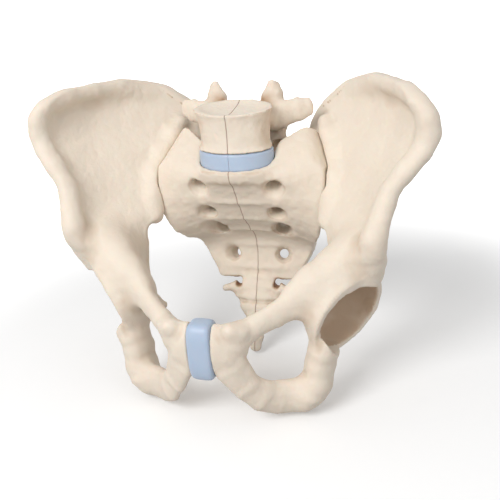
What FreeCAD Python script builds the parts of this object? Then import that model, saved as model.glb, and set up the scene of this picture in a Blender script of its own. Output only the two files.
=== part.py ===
import FreeCAD, Part
import math
import os

Vector = FreeCAD.Vector

# Anatomical pelvis model, female: hip bones, sacrum with coccyx, fifth lumbar vertebra,
# lumbar disc and pubic disc. X points to the subject's left, -Y to the front, Z up.
# The model stands on both ischial tuberosities and the coccyx tip. Bones of the left
# side are shaped and the right side is their mirror image in the median plane X = 0.

# driving dimensions, in millimetres and degrees
SIZES = {
    # flat sides: round arms of bone, long outlines, and rims of the lumbar pieces and discs
    "bone_facets": 10,
    "outline_facets": 22,
    "rim_facets": 28,
    # pubic joint
    "pubic_gap_half": 7.5,
    "pubic_face_depth": 16,
    "pubic_face_height": 35,
    "pubic_face_front": -74,
    "pubic_face_level": 60,
    "disc_proud": 1.5,
    # hip socket
    "socket_radius": 24.5,
    "socket_wall": 4.5,
    "socket_side": 82,
    "socket_front": -28,
    "socket_level": 66,
    "socket_yaw": 33,
    "socket_dip": 19,
    "socket_lip": 3,
    "socket_pit_radius": 11,
    "socket_pit_depth": 1.5,
    "socket_notch_width": 12,
    "socket_notch_depth": 4,
    # fifth lumbar vertebra and its disc
    "lumbar_width_half": 25.5,
    "lumbar_depth_half": 17.5,
    "lumbar_waist": 2.5,
    "lumbar_centre": 17,
    "lumbar_base": 161,
    "lumbar_body_height": 25.5,
    "lumbar_base_tilt": 2,
    "lumbar_top_tilt": 7,
    "endplate_tilt": 8,
    "endplate_lip": 0.5,
    "endplate_root_draw": 4,
    "endplate_depth": 16,
    "canal_width_half": 11,
    "canal_depth_half": 7.5,
    "canal_centre": 41,
    "lumbar_disc_height": 13,
    "lumbar_disc_inset": 0.8,
    # magnets in the parting faces
    "magnet_radius": 3,
    "magnet_length": 4,
    # nerve holes of the sacrum: their inner end is narrower by the taper
    "foramen_length": 60,
    "foramen_sunk": 8,
    "foramen_taper": 0.6,
    # blocks that part the halves reach this far
    "block_reach": 150,
}

# places of the magnets on the median parting face: depth, and level from the sacrum's top
MAGNET_PLACES = {
    "sacrum_upper": (26, -12),
    "sacrum_lower": (47, -48),
    "lumbar": (17, 26),
}

# levels of the slices through the iliac plate, from the hip socket up to the crest
WING_LEVELS = [76, 95, 112, 128, 145, 160, 175, 188, 198, 206]
# per slice: (side, depth, thickness) of the front border, fossa, neck and back border
WING_SLICES = [
    [(82, -30, 8), (79, -24, 14), (75, -15, 15), (69, -5, 7)],
    [(88, -28, 13), (82, -20, 19), (76, -10, 17), (68, -2, 8)],
    [(97, -36, 14), (86, -19, 16), (75, -6, 13), (66, 3, 9)],
    [(102, -31, 12), (90, -8, 9), (66, 18, 14), (50, 46, 15)],
    [(110, -22, 11), (94, 2, 6), (65, 33, 13), (47, 64, 17)],
    [(121, -16, 13), (101, 8, 5), (64, 42, 12), (47, 70, 17)],
    [(131, -11, 13), (106, 14, 5), (68, 51, 10), (51, 69, 14)],
    [(130, -11, 12), (109, 17, 5), (77, 52, 8), (62, 65, 11)],
    [(123, -7, 10), (109, 16, 7), (88, 43, 8), (75, 57, 9)],
    [(113, 4, 6), (107, 14, 7), (99, 27, 7), (93, 36, 6)],
]

# per station: centre, half thickness, half height of an elliptic bone section
ISCHIUM = [
    ((82, -12, 100), 11, 14),
    ((81, -11, 84), 15, 19),
    ((77, -19, 66), 16, 20),
    ((71, -29, 54), 15, 18),
    ((64, -36, 44), 13, 17),
    ((61, -40, 34), 13, 16),
    ((59, -44, 22), 13, 16),
    ((55, -45, 8), 11, 13),
    ((54, -44, 0), 5, 8),
]
UPPER_RAMUS = [
    ((71, -30, 86), 13, 17),
    ((61, -36, 85), 10, 13),
    ((51, -44, 77.5), 8, 11),
    ((41, -53, 72.5), 7, 8),
    ((30, -63, 70), 7, 8),
]
LOWER_RAMUS = [
    ((54, -45, 14), 7, 12),
    ((41, -53, 14), 5.5, 11),
    ((32, -62, 20), 5.5, 9.5),
    ((24, -69, 31), 6, 9),
]
# how high each arm runs into the pubic body, as a share of half its height
UPPER_ROOT = 0.35
LOWER_ROOT = -0.8

ISCHIAL_SPINE = [
    ((67, -17, 53), 6, 9),
    ((59, -7, 48), 4, 5.5),
    ((53, 0, 46), 1.5, 2),
]
# where the hip bone meets the sacrum, inside the iliac plate
JOINT_FACE = [
    ((64, 8, 116), 6, 6),
    ((64, 15, 127), 7, 7),
    ((65, 25, 140), 8, 8),
    ((62, 38, 153), 7, 7),
    ((56, 47, 165), 6, 6),
]

# All levels from here on are measured from the front edge of the sacrum's top.
# sagittal sections of the sacrum: side distance, then outline points (depth, level)
# from the upper front edge over the top, down the back and up the pelvic face
SACRUM_SECTIONS = [
    (0, [(-2, 0), (31, 3), (48, 2), (61, -24), (65, -53), (54, -96), (43, -94), (46, -66), (34, -51), (13, -26)]),
    (12, [(0, 0), (31, 3), (47, 4), (59, -24), (63, -53), (54, -96), (43, -94), (46, -66), (33, -51), (12, -26)]),
    (25, [(8, 0), (30, 5), (44, 8), (54, -22), (60, -50), (53, -96), (43, -95), (45, -68), (33, -51), (10, -24)]),
    (41, [(13, 1), (28, 14), (44, 24), (53, -4), (52, -36), (52, -72), (45, -80), (39, -62), (25, -47), (10, -22)]),
    (58, [(29, -3), (35, 4), (45, 9), (53, -3), (48, -18), (36, -37), (22, -44), (14, -36), (11, -24), (15, -12)]),
]
# coccyx: centre, half depth, half width
COCCYX = [
    ((0, 49, -91), 6, 15),
    ((0, 42, -101), 5, 17),
    ((0, 38, -108), 4.5, 17),
    ((0, 34, -115), 4, 13),
    ((0, 30, -125), 4, 8),
    ((0, 26, -139), 3.5, 5.5),
    ((0, 24, -148), 2.5, 3.5),
]
# sacral foramina: mouth at the pelvic face and mouth radius; each runs back and inwards
FORAMINA = [
    ((27, 6, -14), 6.5),
    ((25, 18, -33), 6),
    ((24, 33, -51), 6.5),
    ((20, 45, -75), 5),
]
# their way inwards and back, and how much flatter each next one runs
FORAMEN_WAY = (-0.12, 0.86, 0.5)
FORAMEN_FLATTENS = 0.12
# the tube for the nerves: centre, half depth, half width
SACRAL_CANAL = [
    ((0, 41, 37), 7.5, 11),
    ((0, 42, 4), 7.5, 11),
    ((0, 52, -20), 5, 9),
    ((0, 58, -48), 4, 6),
    ((0, 53, -78), 3, 4),
    ((0, 50, -100), 2, 3),
]

SACRAL_FACET = [
    ((19, 42, 2), 5, 7),
    ((20, 47, 12), 4, 6.5),
    ((21, 50, 19), 2.5, 5),
]
# processes of the fifth lumbar vertebra
PEDICLE = [
    ((16, 27, 31), 6, 7),
    ((19, 36, 30), 6, 7.5),
    ((20, 46, 28), 6, 9),
]
TRANSVERSE_PROCESS = [
    ((14, 38, 30), 6, 9),
    ((28, 42, 32), 5, 9),
    ((40, 46, 35), 4.5, 7),
    ((49, 49, 36), 3.5, 5),
]
LAMINA = [
    ((22, 44, 29), 5, 9),
    ((13, 53, 26), 4, 10),
    ((-3, 60, 23), 4, 10),
]
SPINOUS_PROCESS = [
    ((0, 57, 23), 4, 9),
    ((0, 68, 20), 3, 10),
    ((0, 81.7, 17), 3.5, 8),
]
UPPER_FACET = [
    ((20, 43, 30), 6, 8),
    ((20, 46, 43), 5, 7.5),
    ((20, 47, 55), 2.5, 4.5),
]
LOWER_FACET = [
    ((17, 50, 28), 4, 6),
    ((19, 55, 18), 3.5, 6.5),
    ((19, 56, 8), 2.5, 4.5),
]

doc = FreeCAD.newDocument("Pelvis")
sheet = doc.addObject("Spreadsheet::Sheet", "Sizes")


def fill_sheet():
    """Every driving dimension becomes a cell with a word for its alias."""
    row = 1
    for alias, value in SIZES.items():
        sheet.set("A%d" % row, alias)
        sheet.set("B%d" % row, str(value))
        sheet.setAlias("B%d" % row, alias)
        row += 1
    doc.recompute()


def bind(item, **links):
    """Tie properties of an object to cells of the sheet."""
    for prop, cell in links.items():
        item.setExpression(prop.replace("__", "."), cell)
    return item


def facets_between(lower, upper):
    """Two flat triangles for each side of two rings with equally many points."""
    faces = []
    for number, corner in enumerate(lower):
        following = (number + 1) % len(lower)
        faces.append(flat_face([corner, lower[following], upper[following]]))
        faces.append(flat_face([corner, upper[following], upper[number]]))
    return faces


def flat_face(corners):
    return Part.Face(Part.makePolygon(list(corners) + [corners[0]]))


def skin(name, rings):
    """A bone of flat facets through closed rings, with a flat cap at either end."""
    faces = [flat_face(rings[0]), flat_face(rings[-1])]
    for lower, upper in zip(rings, rings[1:]):
        faces += facets_between(lower, upper)
    solid = Part.Solid(Part.makeShell(faces))
    if solid.Volume < 0:
        solid.reverse()
    item = doc.addObject("Part::Feature", name)
    item.Shape = solid
    item.Placement = FreeCAD.Placement()
    return item


def ring_points(points):
    """Evenly spaced points on the smooth closed curve through the given ones."""
    curve = Part.BSplineCurve()
    curve.interpolate(points, PeriodicFlag=True)
    return curve.discretize(Number=SIZES["outline_facets"] + 1)[:-1]


def fuse(name, shapes):
    item = doc.addObject("Part::MultiFuse", name)
    item.Shapes = shapes
    return item


def cut(name, base, tool):
    item = doc.addObject("Part::Cut", name)
    item.Base = base
    item.Tool = tool
    return item


def common(name, base, tool):
    item = doc.addObject("Part::Common", name)
    item.Base = base
    item.Tool = tool
    return item


def mirror(name, source):
    item = doc.addObject("Part::Mirroring", name)
    item.Source = source
    item.Normal = (1, 0, 0)
    item.Base = (0, 0, 0)
    return item


def sacrum_top():
    """Level of the front edge of the sacrum's top, under the lumbar disc."""
    return SIZES["lumbar_base"] - SIZES["lumbar_disc_height"]


def bone(name, stations, major, level=False, upright=False, lift=0):
    """Elliptic rings along a path: the long axis leans to the given direction."""
    centres = [Vector(*station[0]) + Vector(0, 0, lift) for station in stations]
    rings = []
    last = len(centres) - 1
    sides = SIZES["bone_facets"]
    for number, (centre, half_thin, half_long) in enumerate(stations):
        along = centres[min(number + 1, last)] - centres[max(number - 1, 0)]
        if level:
            along = Vector(0, 0, math.copysign(1, along.z))
        if upright:
            along = Vector(1, 0, 0)
        along.normalize()
        long_axis = Vector(*major)
        long_axis = long_axis - along * long_axis.dot(along)
        long_axis.normalize()
        short_axis = along.cross(long_axis)
        ring = []
        for side in range(sides):
            angle = 2 * math.pi * side / sides
            offset = long_axis * (half_long * math.cos(angle)) + short_axis * (half_thin * math.sin(angle))
            ring.append(centres[number] + offset)
        rings.append(ring)
    return skin(name, rings)


def strip_outline(points):
    """Points of a closed curve around a bent centre line of the iliac plate."""
    centres = [Vector(side, depth, 0) for side, depth, thickness in points]
    inner = []
    outer = []
    last = len(centres) - 1
    for number, (side, depth, thickness) in enumerate(points):
        along = centres[min(number + 1, last)] - centres[max(number - 1, 0)]
        along.normalize()
        across = Vector(-along.y, along.x, 0)
        outer.append(centres[number] + across * (-thickness / 2))
        inner.append(centres[number] + across * (thickness / 2))
        if number == 0:
            first_end = centres[0] - along * (thickness / 2)
        if number == last:
            last_end = centres[last] + along * (thickness / 2)
    return [first_end] + inner + [last_end] + outer[::-1]


def wing():
    rings = []
    for level, slice_points in zip(WING_LEVELS, WING_SLICES):
        lift = Vector(0, 0, level)
        rings.append([point + lift for point in ring_points(strip_outline(slice_points))])
    return skin("wing", rings)


def socket_direction():
    yaw = math.radians(SIZES["socket_yaw"])
    dip = math.radians(SIZES["socket_dip"])
    flat = math.cos(dip)
    return Vector(flat * math.cos(yaw), -flat * math.sin(yaw), -math.sin(dip))


def socket_frame():
    axis = socket_direction()
    down = Vector(0, 0, -1)
    down = down - axis * down.dot(axis)
    down.normalize()
    return axis, FreeCAD.Rotation(down, axis.cross(down), axis, "ZXY")


def at_socket(item, turn, shift=Vector(0, 0, 0)):
    """Seat a shape on the socket centre, which follows the sheet."""
    centre = Vector(SIZES["socket_side"], SIZES["socket_front"], SIZES["socket_level"])
    item.Placement = FreeCAD.Placement(centre + turn.multVec(shift), turn)
    return item


def socket_cup():
    """The bone around the hip socket: flat-sided rings of a thick bowl, open at the rim plane."""
    axis = socket_direction()
    centre = Vector(SIZES["socket_side"], SIZES["socket_front"], SIZES["socket_level"])
    outer = SIZES["socket_radius"] + SIZES["socket_wall"]
    rim_angle = math.degrees(math.asin(SIZES["socket_lip"] / outer))
    stations = []
    for angle in (rim_angle, 25, 45, 65, 85):
        depth = outer * math.sin(math.radians(angle))
        radius = outer * math.cos(math.radians(angle))
        stations.append((centre - axis * depth, radius, radius))
    return bone("socket_cup", stations, (0, 0, 1))


def socket_space():
    """What the ball of the thigh bone and its rough pit take out of the hip bone."""
    axis, turn = socket_frame()
    ball = doc.addObject("Part::Sphere", "socket_ball")
    bind(ball, Radius="Sizes.socket_radius")
    at_socket(ball, turn)
    mouth = doc.addObject("Part::Cylinder", "socket_mouth")
    bind(mouth, Radius="Sizes.socket_radius", Height="Sizes.socket_radius * 1.4")
    at_socket(mouth, turn)
    pit = doc.addObject("Part::Cylinder", "socket_pit")
    bind(pit, Radius="Sizes.socket_pit_radius", Height="Sizes.socket_radius + Sizes.socket_pit_depth")
    at_socket(pit, turn, Vector(0, 0, -SIZES["socket_radius"] - SIZES["socket_pit_depth"]))
    notch = doc.addObject("Part::Box", "socket_notch")
    bind(notch, Width="Sizes.socket_notch_width", Length="Sizes.socket_radius + Sizes.socket_wall * 2")
    bind(notch, Height="Sizes.socket_radius")
    sunk = SIZES["socket_lip"] + SIZES["socket_notch_depth"]
    at_socket(notch, turn, Vector(0, -SIZES["socket_notch_width"] / 2, -sunk))
    return fuse("socket_space", [ball, mouth, pit, notch])


def left_block(name):
    """A block that holds all that lies on the left of the median plane."""
    block = doc.addObject("Part::Box", name)
    bind(block, Length="Sizes.block_reach", Width="Sizes.block_reach * 2", Height="Sizes.block_reach * 2")
    reach = SIZES["block_reach"]
    block.Placement.Base = Vector(0, -reach, sacrum_top() - reach)
    return block


def pubic_root(share):
    """The station where an arm runs into the pubic body, in its middle."""
    half_thin = SIZES["pubic_face_depth"] * 0.44
    level = SIZES["pubic_face_level"] + SIZES["pubic_face_height"] / 2 * share
    return (SIZES["pubic_gap_half"] * 2.4, SIZES["pubic_face_front"] + 1, level), half_thin, half_thin * 1.6


def pubic_body():
    """The flat block of bone beside the pubic disc: it thins towards the upper arm."""
    gap = SIZES["pubic_gap_half"]
    front = SIZES["pubic_face_front"]
    level = SIZES["pubic_face_level"]
    thin = SIZES["pubic_face_depth"] / 2
    tall = SIZES["pubic_face_height"] / 2
    stations = [
        ((gap, front, level), thin, tall),
        ((gap * 2, front + 1, level), thin * 0.94, tall),
        ((gap * 3.5, front + 6, level + 3), thin * 0.8, tall * 0.64),
    ]
    return bone("pubic_body", stations, (0, 0, 1), upright=True)


def sacrum_mass():
    rings = []
    for side, points in SACRUM_SECTIONS:
        rings.append(ring_points([Vector(side, depth, sacrum_top() + level) for depth, level in points]))
    return skin("sacrum_mass", rings)


def sacrum_half(mass, facet):
    """Half of the sacrum with its half of the tail bone, nerve holes and canal."""
    tail = bone("coccyx", COCCYX, (1, 0, 0), level=True, lift=sacrum_top())
    whole = fuse("sacrum_whole", [mass, tail, facet, endplate_body()])
    solid = common("sacrum_side", whole, left_block("sacrum_keep"))
    canal = bone("sacral_canal", SACRAL_CANAL, (1, 0, 0), level=True, lift=sacrum_top())
    return cut("sacrum_bone", solid, fuse("sacrum_holes", foramina() + [canal]))


def rim(half_width, half_depth, front_level, tilt, centre=SIZES["lumbar_centre"]):
    """Corners of an oval rim, wide in X: its plane rises to the rear by the tilt."""
    sides = SIZES["rim_facets"]
    slope = math.tan(math.radians(tilt))
    corners = []
    for side in range(sides):
        angle = 2 * math.pi * side / sides
        depth = half_depth * math.sin(angle)
        corners.append(Vector(half_width * math.cos(angle), centre + depth, front_level + (half_depth + depth) * slope))
    return corners


def endplate_body():
    """The body of the first sacral segment under the lumbar disc."""
    wide = SIZES["lumbar_width_half"] + SIZES["endplate_lip"]
    deep = SIZES["lumbar_depth_half"]
    draw = SIZES["endplate_root_draw"]
    tilt = SIZES["endplate_tilt"]
    root = sacrum_top() - SIZES["endplate_depth"]
    return skin("endplate_body", [
        rim(wide - draw, deep - draw, root, tilt, SIZES["lumbar_centre"] + draw * 2),
        rim(wide, deep, sacrum_top(), tilt),
    ])


def lumbar_body():
    """A waisted drum between two tilted rims."""
    wide = SIZES["lumbar_width_half"]
    deep = SIZES["lumbar_depth_half"]
    waist = SIZES["lumbar_waist"]
    base = SIZES["lumbar_base"]
    height = SIZES["lumbar_body_height"]
    low = SIZES["lumbar_base_tilt"]
    high = SIZES["lumbar_top_tilt"]
    rings = [rim(wide, deep, base, low)]
    for part, draw in ((0.15, 0.35), (0.35, 0.9), (0.65, 0.9), (0.85, 0.35)):
        drawn = waist * draw
        rings.append(rim(wide - drawn, deep - drawn, base + height * part, low + (high - low) * part))
    return skin("lumbar_body", rings + [rim(wide, deep, base + height, high)])


def lumbar_disc():
    """The disc below the drum: it bulges to the rims at half height."""
    wide = SIZES["lumbar_width_half"]
    deep = SIZES["lumbar_depth_half"]
    inset = SIZES["lumbar_disc_inset"]
    low = SIZES["endplate_tilt"]
    high = SIZES["lumbar_base_tilt"]
    return skin("lumbar_disc", [
        rim(wide - inset, deep - inset, sacrum_top(), low),
        rim(wide, deep, sacrum_top() + SIZES["lumbar_disc_height"] / 2, (low + high) / 2),
        rim(wide - inset, deep - inset, SIZES["lumbar_base"], high),
    ])


def vertebral_canal():
    """The opening between the drum and the arch of the vertebra."""
    base = SIZES["lumbar_base"]
    centre = SIZES["canal_centre"]
    ends = (base, base + SIZES["lumbar_body_height"] * 2)
    return bone("vertebral_canal", [
        ((0, centre, level), SIZES["canal_depth_half"], SIZES["canal_width_half"]) for level in ends
    ], (1, 0, 0))


def foramina():
    """Four pairs of nerve holes: each widens to the pelvic face."""
    holes = []
    for number, ((side, depth, level), radius) in enumerate(FORAMINA):
        way = Vector(*FORAMEN_WAY) - Vector(0, 0, FORAMEN_FLATTENS * number)
        way.normalize()
        start = Vector(side, depth, level) - way * SIZES["foramen_sunk"]
        end = start + way * SIZES["foramen_length"]
        narrow = radius * SIZES["foramen_taper"]
        stations = [(start, radius, radius), (end, narrow, narrow)]
        holes.append(bone("foramen%d" % (number + 1), stations, (0, 0, 1), lift=sacrum_top()))
    return holes


def magnet(name, start, depth, level):
    """A plain disc magnet that lies along X with one end in the parting face."""
    item = doc.addObject("Part::Cylinder", name)
    bind(item, Radius="Sizes.magnet_radius", Height="Sizes.magnet_length")
    item.Placement = FreeCAD.Placement(Vector(start, depth, level), FreeCAD.Rotation(Vector(0, 1, 0), 90))
    return item


def pubic_disc():
    """The pad between the pubic bones: their outline at its ends, proud of it between them."""
    gap = SIZES["pubic_gap_half"]
    proud = SIZES["disc_proud"]
    deep = SIZES["pubic_face_depth"] / 2
    tall = SIZES["pubic_face_height"] / 2
    stations = []
    for side, swell in ((-gap, 0), (-gap / 2, proud * 0.75), (0, proud), (gap / 2, proud * 0.75), (gap, 0)):
        centre = (side, SIZES["pubic_face_front"], SIZES["pubic_face_level"])
        stations.append((centre, deep + swell, tall + swell))
    return bone("pubic_disc", stations, (0, 0, 1), upright=True)


def lumbar_half(facet, pocket):
    """Half of the vertebra: drum, arch and processes round the canal."""
    lift = sacrum_top()
    parts = [lumbar_body()]
    for name, stations in (
        ("pedicle", PEDICLE),
        ("transverse_process", TRANSVERSE_PROCESS),
        ("lamina", LAMINA),
        ("spinous_process", SPINOUS_PROCESS),
    ):
        parts.append(bone(name, stations, (0, 0, 1), lift=lift))
    for name, stations in (("upper_facet", UPPER_FACET), ("lower_facet", LOWER_FACET)):
        parts.append(bone(name, stations, (1, 0, 0), lift=lift))
    side = common("lumbar_side", fuse("lumbar_whole", parts), left_block("lumbar_keep"))
    opened = cut("lumbar_opened", side, vertebral_canal())
    return cut("lumbar_pocketed", cut("lumbar_fitted", opened, facet), pocket)


def hip_bone(mass):
    """Iliac plate, hub with the socket, ischium and the ring of pubic arms."""
    joint = bone("joint_face", JOINT_FACE, (0, 1, 0), level=True)
    plate = cut("wing_fitted", fuse("wing_joined", [wing(), joint]), mass)
    whole = fuse("hip_raw", [
        plate,
        socket_cup(),
        bone("ischium", ISCHIUM, (0, -1, 0), level=True),
        bone("upper_ramus", UPPER_RAMUS + [pubic_root(UPPER_ROOT)], (0, 0, 1)),
        bone("lower_ramus", LOWER_RAMUS + [pubic_root(LOWER_ROOT)], (0, 0, 1)),
        pubic_body(),
        bone("ischial_spine", ISCHIAL_SPINE, (0, 0, 1)),
    ])
    return cut("hip_socketed", whole, socket_space())


def build_left_side():
    """Left bones, disc half and magnets; the right side mirrors them."""
    magnets = {}
    for name, (depth, level) in MAGNET_PLACES.items():
        magnets[name] = magnet("magnet_" + name, 0, depth, sacrum_top() + level)
    mass = sacrum_mass()
    facet = bone("sacral_facet", SACRAL_FACET, (1, 0, 0), lift=sacrum_top())
    pockets = fuse("sacrum_magnets", [magnets["sacrum_upper"], magnets["sacrum_lower"]])
    return {
        "sacrum_half": cut("sacrum_pocketed", sacrum_half(mass, facet), pockets),
        "lumbar_half": lumbar_half(facet, magnets["lumbar"]),
        "disc_half": common("disc_side", lumbar_disc(), left_block("disc_keep")),
        "hip_bone": hip_bone(mass),
        "sacrum_upper_magnet": magnets["sacrum_upper"],
        "sacrum_lower_magnet": magnets["sacrum_lower"],
        "lumbar_magnet": magnets["lumbar"],
    }


def pubic_magnet(name, start):
    return magnet(name, start, SIZES["pubic_face_front"], SIZES["pubic_face_level"])


def main():
    fill_sheet()
    pieces = build_left_side()
    nodes = {}
    for name, item in pieces.items():
        nodes["left_" + name] = item
        nodes["right_" + name] = mirror("right_" + name, item)
    gap = SIZES["pubic_gap_half"]
    nodes["left_pubic_magnet"] = pubic_magnet("magnet_pubis", gap)
    nodes["left_hip_bone"] = cut("hip_pocketed", pieces["hip_bone"], nodes["left_pubic_magnet"])
    nodes["disc_magnet"] = pubic_magnet("magnet_disc", gap - SIZES["magnet_length"])
    nodes["pubic_disc"] = cut("disc_pocketed", pubic_disc(), nodes["disc_magnet"])
    doc.recompute()
    for item in doc.Objects:
        assert "Invalid" not in item.State and "Error" not in item.State, item.Name + " did not build"
    os.makedirs("parts", exist_ok=True)
    for name, item in nodes.items():
        node(name, item)


def node(name, shape_object):
    """A finished piece under its own name, checked and written out."""
    shape = shape_object.Shape
    assert not shape.isNull() and shape.isValid(), name + " has no valid shape"
    shape.exportStep("parts/%s.step" % name)
    box = shape.BoundBox
    corners = [round(value, 1) for value in (box.XMin, box.XMax, box.YMin, box.YMax, box.ZMin, box.ZMax)]
    print(name, "solids", len(shape.Solids), "cm3", round(shape.Volume / 1000, 1), "box", corners)


main()
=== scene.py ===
# %% [markdown]
# A life-size pelvis skeleton model. The real one is cast in ivory plastic: two hip bones,
# a sacrum with its tail bone and the lowest lumbar vertebra, with pale blue discs where
# gristle would be. It parts in the median plane and magnets hold the halves together.
# The frame loads the solids made in CAD, and each piece below stands in for one of them.

# %% Load the frame
import math

import bmesh
import bpy
import mathutils
import numpy as np
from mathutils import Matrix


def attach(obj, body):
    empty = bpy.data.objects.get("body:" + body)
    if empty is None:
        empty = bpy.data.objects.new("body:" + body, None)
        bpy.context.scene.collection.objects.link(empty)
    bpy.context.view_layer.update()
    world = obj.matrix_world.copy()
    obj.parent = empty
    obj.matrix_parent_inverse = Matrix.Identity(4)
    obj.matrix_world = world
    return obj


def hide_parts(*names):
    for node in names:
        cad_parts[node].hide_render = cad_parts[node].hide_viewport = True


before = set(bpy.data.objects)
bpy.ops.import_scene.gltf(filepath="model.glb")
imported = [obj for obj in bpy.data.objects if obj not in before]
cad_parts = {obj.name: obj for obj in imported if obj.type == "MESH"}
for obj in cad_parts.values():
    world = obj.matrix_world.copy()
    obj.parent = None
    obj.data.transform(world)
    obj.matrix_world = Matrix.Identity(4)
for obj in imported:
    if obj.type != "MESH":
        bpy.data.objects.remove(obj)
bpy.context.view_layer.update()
MM = 0.001

# %% [markdown]
# Bone has no flat sides and no sharp joints between its arms, so it is shaped the way a
# sculptor adds clay: every arm is a distance field, fields melt into each other, and the
# surface is where the melted field is zero. All fields work on whole arrays of points, in
# millimetres, and only the left side is shaped: the right one is its mirror image.

# %% Melt fields together
def smooth_min(first, second, reach):
    """The smaller of two distances, with a fillet where they are alike.

    Likeness is 1 where both are equal and 0 where they are reach apart. The fillet takes
    off a quarter of reach times the square of the likeness.
    """
    likeness = np.maximum(reach - np.abs(first - second), 0) / reach
    return np.minimum(first, second) - likeness * likeness * reach * 0.25


def smooth_max(first, second, reach):
    """The larger of two distances, rounded in the same way."""
    return -smooth_min(-first, -second, reach)


def size_of(vectors):
    """Root of the sum of squares along the last axis."""
    return np.sqrt((vectors * vectors).sum(-1))


def unit(vector):
    """The vector divided by its own length."""
    vector = np.asarray(vector, float)
    return vector / np.sqrt((vector * vector).sum())


def melt(parts, reach):
    """Smooth minimum of a list of fields, one after another."""
    whole = parts[0]
    for part in parts[1:]:
        whole = smooth_min(whole, part, reach)
    return whole


# %% [markdown]
# An arm of bone, such as the lower ramus, is round in no place: it is a flat oval that
# widens and turns on its way. A chain of such ovals could be lofted, but a field melts
# into its neighbours, so the arm is the set of points near a path with local widths.

# %% Arms of bone along a path
UP = (0, 0, 1)
AHEAD = (0, -1, 0)
SIDEWAYS = (1, 0, 0)
ANY_TURN = (0.3, 0.5, 0.8)


def limb(points, stations, major=UP, reach=3.0):
    """Distance to an arm of bone with elliptic sections.

    A station is a centre, half its thin width and half its long width, which lies along
    the major direction. Between two stations the widths change evenly, and the distance is
    that to an ellipsoid of the local widths: q (q - 1) / g, where q is the scaled radius
    and g its slope.
    """
    whole = None
    for (start, thin_a, long_a), (end, thin_b, long_b) in zip(stations, stations[1:]):
        start = np.asarray(start, float)
        span = np.asarray(end, float) - start
        reach_2 = (span * span).sum()
        along = span / math.sqrt(reach_2)
        wide = unit(np.asarray(major, float) - along * np.dot(major, along))
        thin = np.cross(along, wide)
        offset = points - start
        part = np.clip(offset @ span / reach_2, 0, 1)
        offset = offset - part[:, None] * span
        half_long = long_a + (long_b - long_a) * part
        half_thin = thin_a + (thin_b - thin_a) * part
        local = np.stack([
            offset @ wide / half_long,
            offset @ thin / half_thin,
            offset @ along / half_thin,
        ], 1)
        scaled = size_of(local)
        slope = size_of(local / np.stack([half_long, half_thin, half_thin], 1)) + 1e-6
        distance = scaled * (scaled - 1) / slope
        whole = distance if whole is None else smooth_min(whole, distance, reach)
    return whole


def rod(points, stations, reach=3.0):
    """An arm with round sections: a station is a centre and a radius, and any turn will do."""
    stations = [(centre, radius, radius) for centre, radius in stations]
    return limb(points, stations, ANY_TURN, reach)


def ball(points, centre, radius):
    """Distance to the centre less the radius."""
    return size_of(points - np.asarray(centre, float)) - radius


def eased_table(levels, rows, at):
    """Rows of values carried smoothly between levels.

    Between two levels runs a cubic with the value and the slope of the table at both ends,
    and the slope at a level is the one between its two neighbours.
    """
    levels = np.asarray(levels, float)
    rows = np.asarray(rows, float)
    slope = np.gradient(rows, levels, axis=0)
    at = np.clip(at, levels[0], levels[-1])
    index = np.clip(np.searchsorted(levels, at) - 1, 0, len(levels) - 2)
    step = levels[index + 1] - levels[index]
    part = (at - levels[index]) / step
    shape = (-1,) + (1,) * (rows.ndim - 1)
    part, step = part.reshape(shape), step.reshape(shape)
    low, high = rows[index], rows[index + 1]
    low_slope, high_slope = slope[index] * step, slope[index + 1] * step
    square, cube = part * part, part * part * part
    return (low * (2 * cube - 3 * square + 1) + low_slope * (cube - 2 * square + part)
            + high * (3 * square - 2 * cube) + high_slope * (cube - square))


# %% [markdown]
# Cast plastic keeps the fine unevenness of the bone that its mould was taken from. Sine
# waves in scattered directions give it without a pattern that repeats in sight, and the
# same seed gives the same bumps on each run.

# %% Grain of the cast
def ripple(points, wavelength, seed, waves=14, spread=(0.7, 1.4), strength=0.7):
    """A soft bumpy field of about -1 to 1: sine waves of like lengths in scattered directions.

    Their sum is divided by the root of how many there are, and multiplied by the strength.
    """
    source = np.random.default_rng(seed)
    directions = source.normal(size=(waves, 3))
    directions /= size_of(directions)[:, None]
    shift = source.uniform(0, 2 * math.pi, waves)
    lengths = wavelength * source.uniform(*spread, waves)
    total = np.zeros(len(points))
    for direction, phase, length in zip(directions, shift, lengths):
        total += np.sin(points @ direction * (2 * math.pi / length) + phase)
    return total / math.sqrt(waves) * strength


def uneven(points, whole, ripples):
    """A field with ripples on it: each has a height, a wavelength and a seed."""
    for height, wavelength, seed in ripples:
        whole = whole + height * ripple(points, wavelength, seed)
    return whole


# %% [markdown]
# The field becomes a mesh with a surface net: space is cut into small cells, each cell
# that the surface crosses gets one point at the mean of its edge crossings, and four
# neighbouring points make a face. It keeps even faces everywhere, which a voxel remesh
# also does, but here each point is then pushed onto the true zero of the field.

# %% Field to mesh
BLOCK_REACH = 1.7
BATCH = 400000
PUSH_TURNS = 2
LONGEST_PUSH = 0.6
LEAST_SLOPE = 0.05


def sample_field(field, low, high, step, block=4):
    """Values on a fine grid, worked out only in blocks that lie near the surface.

    A block whose middle is further from the surface than its reach keeps that one value.
    """
    counts = np.ceil((np.asarray(high) - low) / (step * block)).astype(int)
    axes = [low[axis] + (np.arange(counts[axis]) + 0.5) * step * block - step / 2 for axis in range(3)]
    centres = np.stack(np.meshgrid(*axes, indexing="ij"), -1).reshape(-1, 3)
    coarse = field(centres).reshape(counts)
    near = np.abs(coarse) < step * block * BLOCK_REACH
    values = coarse.repeat(block, 0).repeat(block, 1).repeat(block, 2).astype(np.float32)
    close = near.repeat(block, 0).repeat(block, 1).repeat(block, 2)
    spots = np.argwhere(close)
    filled = np.empty(len(spots), np.float32)
    for first in range(0, len(spots), BATCH):
        part = slice(first, first + BATCH)
        filled[part] = field(low + spots[part] * step)
    values[close] = filled
    return values


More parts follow.
